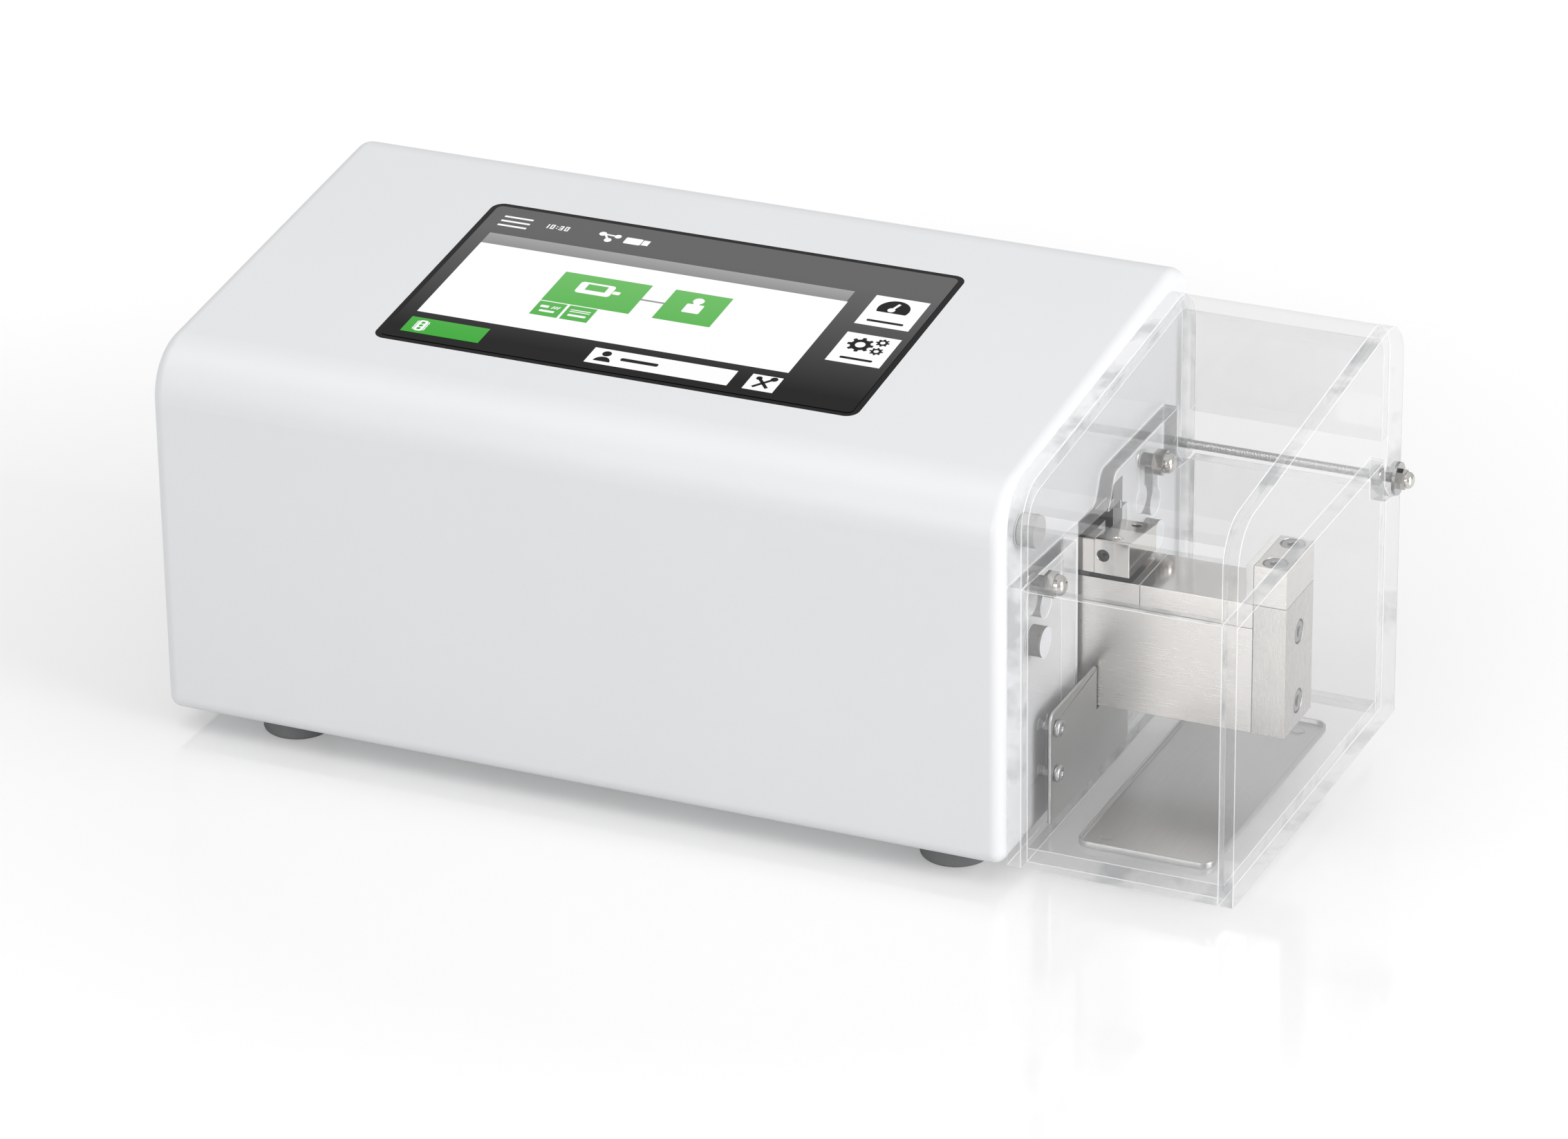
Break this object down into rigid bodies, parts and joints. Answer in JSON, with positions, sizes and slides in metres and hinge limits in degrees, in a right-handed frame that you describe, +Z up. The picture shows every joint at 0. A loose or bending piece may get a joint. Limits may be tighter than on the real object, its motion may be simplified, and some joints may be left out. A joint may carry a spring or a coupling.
{
  "type": "tablet hardness tester",
  "caption": "Bench tablet hardness tester: a sloped white housing with a touch display, a motor-driven ram and fixed jaw on a steel bed, under a clear hinged safety hood.",
  "frame": {"origin": "centre of the resting face under the feet", "axes": "+X to the right along the length, -Y the front, +Z up"},
  "size_m": [0.3576, 0.153, 0.1439],
  "materials": {
    "white_powder_coat": "smooth white powder coat",
    "galvanised_sheet": "zinc plated sheet",
    "stainless_steel": "ground stainless steel",
    "stainless_tray": "brushed stainless sheet",
    "zinc_plated_steel": "zinc plated steel",
    "nickel_plated": "bright nickel plate",
    "mechanism_aluminium": "machined aluminium",
    "clear_acrylic": "clear polished acrylic sheet",
    "display_glass": "black printed cover glass",
    "black_plastic": "black moulded plastic",
    "grey_plastic": "grey moulded plastic",
    "foot_rubber": "dark grey rubber",
    "circuit_board": "green circuit board",
    "motor_black": "black painted laminations",
    "brass": "turned brass",
    "jaw_coating": "hard white pad"
  },
  "bodies": {
    "base": {"housing_shell": "white_powder_coat", "base_plate": "galvanised_sheet", "rubber_feet": "foot_rubber", "chassis_screws": "zinc_plated_steel", "rear_panel": "galvanised_sheet", "power_inlet": "black_plastic", "inlet_blades": "nickel_plated", "switch_housing": "black_plastic", "data_socket": "nickel_plated", "display_glass": "display_glass", "display_module": "black_plastic", "display_bracket": "galvanised_sheet", "main_board": "circuit_board", "board_standoffs": "grey_plastic", "power_supply": "galvanised_sheet", "bed_beam": "stainless_steel", "bed_plate_left": "stainless_steel", "bed_plate_right": "stainless_steel", "bed_supports": "mechanism_aluminium", "end_plate": "stainless_steel", "jaw_block": "stainless_steel", "jaw_pad": "jaw_coating", "cap_screws": "zinc_plated_steel", "stepper_motor": "motor_black", "motor_bracket": "mechanism_aluminium", "bearing_blocks": "mechanism_aluminium", "screw_bearings": "nickel_plated", "guide_rail": "stainless_steel", "hood_base": "clear_acrylic", "hood_front_panel": "clear_acrylic", "hood_back_panel": "clear_acrylic", "hood_right_plate": "clear_acrylic", "hood_left_plate": "clear_acrylic", "plate_plugs": "grey_plastic", "hanging_studs": "zinc_plated_steel", "hanging_nuts": "nickel_plated", "dust_sheet": "stainless_tray", "dust_sheet_screws": "zinc_plated_steel", "lid_sensor": "black_plastic", "hinge_rod": "zinc_plated_steel", "hinge_nuts": "zinc_plated_steel", "hinge_washer": "zinc_plated_steel", "hinge_domed_nut": "nickel_plated"},
    "lid": {"lid_sheet": "clear_acrylic", "lid_left_cheek": "clear_acrylic", "lid_right_cheek": "clear_acrylic", "lid_magnet": "grey_plastic"},
    "ram": {"guide_carriage": "stainless_steel", "ram_carrier": "mechanism_aluminium", "screw_nut": "brass", "load_cell": "mechanism_aluminium", "load_cell_screws": "zinc_plated_steel", "ram_arm": "stainless_steel", "ram_block": "stainless_steel", "ram_grub_screws": "zinc_plated_steel"},
    "screw": {"motor_shaft": "stainless_steel", "shaft_coupling": "mechanism_aluminium", "lead_screw": "stainless_steel"},
    "rocker": {"power_rocker": "black_plastic"},
    "tray": {"catch_tray": "stainless_tray"}
  },
  "joints": [
    {"name": "lid_hinge", "type": "hinge", "parent": "base", "child": "lid", "pos_m": [0.13733, 0.0633, 0.0878], "axis": [-1, 0, 0], "range_deg": [0, 100]},
    {"name": "screw_turn", "type": "hinge", "parent": "base", "child": "screw", "pos_m": [-0.01082, 0.0035, 0.103], "axis": [-1, 0, 0], "range_deg": [0, 3240]},
    {"name": "ram_slide", "type": "slide", "parent": "base", "child": "ram", "axis": [1, 0, 0], "range_m": [0, 0.036]},
    {"name": "rocker_tilt", "type": "hinge", "parent": "base", "child": "rocker", "pos_m": [-0.10483, 0.0715, 0.044], "axis": [-1, 0, 0], "range_deg": [0, 16]},
    {"name": "tray_lift", "type": "slide", "parent": "base", "child": "tray", "axis": [0, 0, 1], "range_m": [0, 0.015]}
  ],
  "couplings": [
    {"joint": "screw_turn", "follows": "ram_slide", "rad_per_m": 1570.8}
  ]
}
